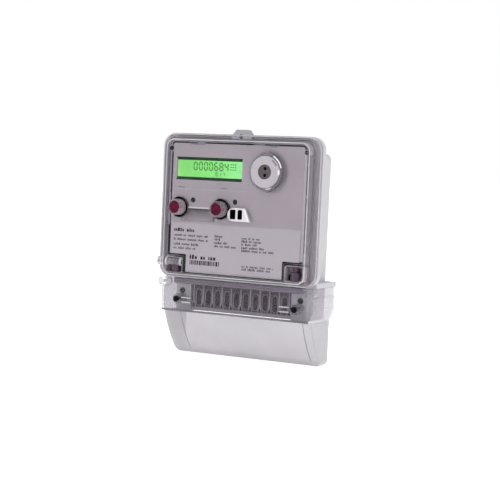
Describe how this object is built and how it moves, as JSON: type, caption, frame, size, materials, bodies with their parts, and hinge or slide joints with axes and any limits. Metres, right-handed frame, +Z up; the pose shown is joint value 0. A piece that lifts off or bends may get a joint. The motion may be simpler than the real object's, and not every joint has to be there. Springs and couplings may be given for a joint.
{
  "type": "prepaid electricity meter",
  "caption": "Wall-mounted three-phase electronic energy meter: clear sealed front, lit display, optical and data ports, push-buttons, row of terminals under a clear extended cover.",
  "frame": {"origin": "on the wall plane, on the centre line, half way up the meter", "axes": "+X to the right seen from the front, +Y into the wall, +Z up"},
  "size_m": [0.178, 0.071, 0.23],
  "materials": {
    "clear_cover": "clear moulded polycarbonate, polished",
    "clear_terminal_cover": "clear moulded polycarbonate, polished",
    "base_grey": "light grey moulded polycarbonate, fine spark-eroded grain",
    "gasket_rubber": "soft black silicone",
    "panel_grey": "mid grey satin moulding",
    "label_sheet": "light grey printed sheet",
    "screw_black": "black oxide",
    "screw_steel": "zinc plated",
    "seal_metal": "dark violet-brown passivated",
    "brass": "machined",
    "copper": "tinned copper bar",
    "lcd_green": "lit liquid-crystal cell",
    "light_guide": "translucent acrylic",
    "frame_dark_green": "dark moulding",
    "led_red": "dark red lens",
    "collar_black": "black nylon",
    "port_ring": "light grey coated steel",
    "port_bezel_clear": "clear moulded ring",
    "port_core": "dark grey moulding",
    "diode_black": "infrared-pass epoxy",
    "data_frame": "pale grey moulding",
    "contact_gold": "gold plated",
    "button_clear": "clear acrylic",
    "button_maroon": "deep red acrylic",
    "spring_steel": "bright wire",
    "block_violet": "dark thermoset",
    "pcb_green": "solder mask",
    "ferrite": "epoxy-coated core",
    "seat_plastic": "black moulding",
    "lamination": "varnished lamination",
    "winding": "taped copper winding",
    "capacitor": "sleeved aluminium can",
    "varistor": "blue epoxy",
    "battery": "sleeved cell",
    "chip_black": "moulded epoxy",
    "crystal_can": "nickel can",
    "ribbon_grey": "flat ribbon",
    "connector_white": "nylon"
  },
  "bodies": {
    "case": {"backup_battery": "battery", "base_housing": "base_grey", "battery_holder": "seat_plastic", "board_pillars": "connector_white", "board_ribbon": "ribbon_grey", "board_screws": "screw_steel", "button_collars": "collar_black", "case_rim": "base_grey", "clock_crystal": "crystal_can", "cover_gasket": "gasket_rubber", "cover_seal_screws": "seal_metal", "current_transformers": "ferrite", "data_port_contacts": "contact_gold", "data_port_housing": "data_frame", "display_board": "pcb_green", "front_cover": "clear_cover", "hanging_lug": "base_grey", "infrared_diodes": "diode_black", "label_plate": "label_sheet", "lcd_backlight": "light_guide", "lcd_frame": "frame_dark_green", "lcd_glass": "lcd_green", "lcd_pins": "contact_gold", "main_board": "pcb_green", "metering_chips": "chip_black", "nameplate": "panel_grey", "optical_port_bezel": "port_bezel_clear", "optical_port_core": "port_core", "optical_port_ring": "port_ring", "panel_screws": "screw_black", "panel_strip": "gasket_rubber", "primary_links": "copper", "pulse_leds": "led_red", "ribbon_connectors": "connector_white", "seal_plates": "seal_metal", "smoothing_capacitors": "capacitor", "supply_transformer_core": "lamination", "supply_transformer_winding": "winding", "surge_varistors": "varistor", "tact_switches": "chip_black", "terminal_barrels": "brass", "terminal_block": "block_violet", "terminal_block_chambers": "block_violet", "terminal_block_face": "block_violet", "terminal_screws": "screw_steel", "terminal_tray": "base_grey", "threaded_bushes": "brass", "transformer_seats": "seat_plastic", "voltage_pins": "copper"},
    "terminal_cover": {"terminal_cover": "clear_terminal_cover"},
    "cover_screw_left": {"terminal_cover_screw_left": "screw_black"},
    "cover_screw_right": {"terminal_cover_screw_right": "screw_black"},
    "left_button": {"left_button_sleeve": "button_clear", "left_button_core": "button_maroon", "left_button_clip": "spring_steel", "left_button_spring": "spring_steel"},
    "right_button": {"right_button_sleeve": "button_clear", "right_button_core": "button_maroon", "right_button_clip": "spring_steel", "right_button_spring": "spring_steel"}
  },
  "joints": [
    {"name": "terminal_cover_lift", "type": "slide", "parent": "case", "child": "terminal_cover", "axis": [0, -1, 0], "range_m": [0, 0.09]},
    {"name": "cover_screw_left_turn", "type": "hinge", "parent": "terminal_cover", "child": "cover_screw_left", "pos_m": [-0.0667, -0.0538, -0.0578], "axis": [0, -1, 0], "continuous": true},
    {"name": "cover_screw_right_turn", "type": "hinge", "parent": "terminal_cover", "child": "cover_screw_right", "pos_m": [0.0667, -0.0538, -0.0578], "axis": [0, -1, 0], "continuous": true},
    {"name": "left_button_press", "type": "slide", "parent": "case", "child": "left_button", "axis": [0, 1, 0], "range_m": [0, 0.0025], "stiffness_N_per_m": 400, "springref_m": -0.001, "deforming": ["left_button_spring"]},
    {"name": "right_button_press", "type": "slide", "parent": "case", "child": "right_button", "axis": [0, 1, 0], "range_m": [0, 0.0025], "stiffness_N_per_m": 400, "springref_m": -0.001, "deforming": ["right_button_spring"]}
  ]
}
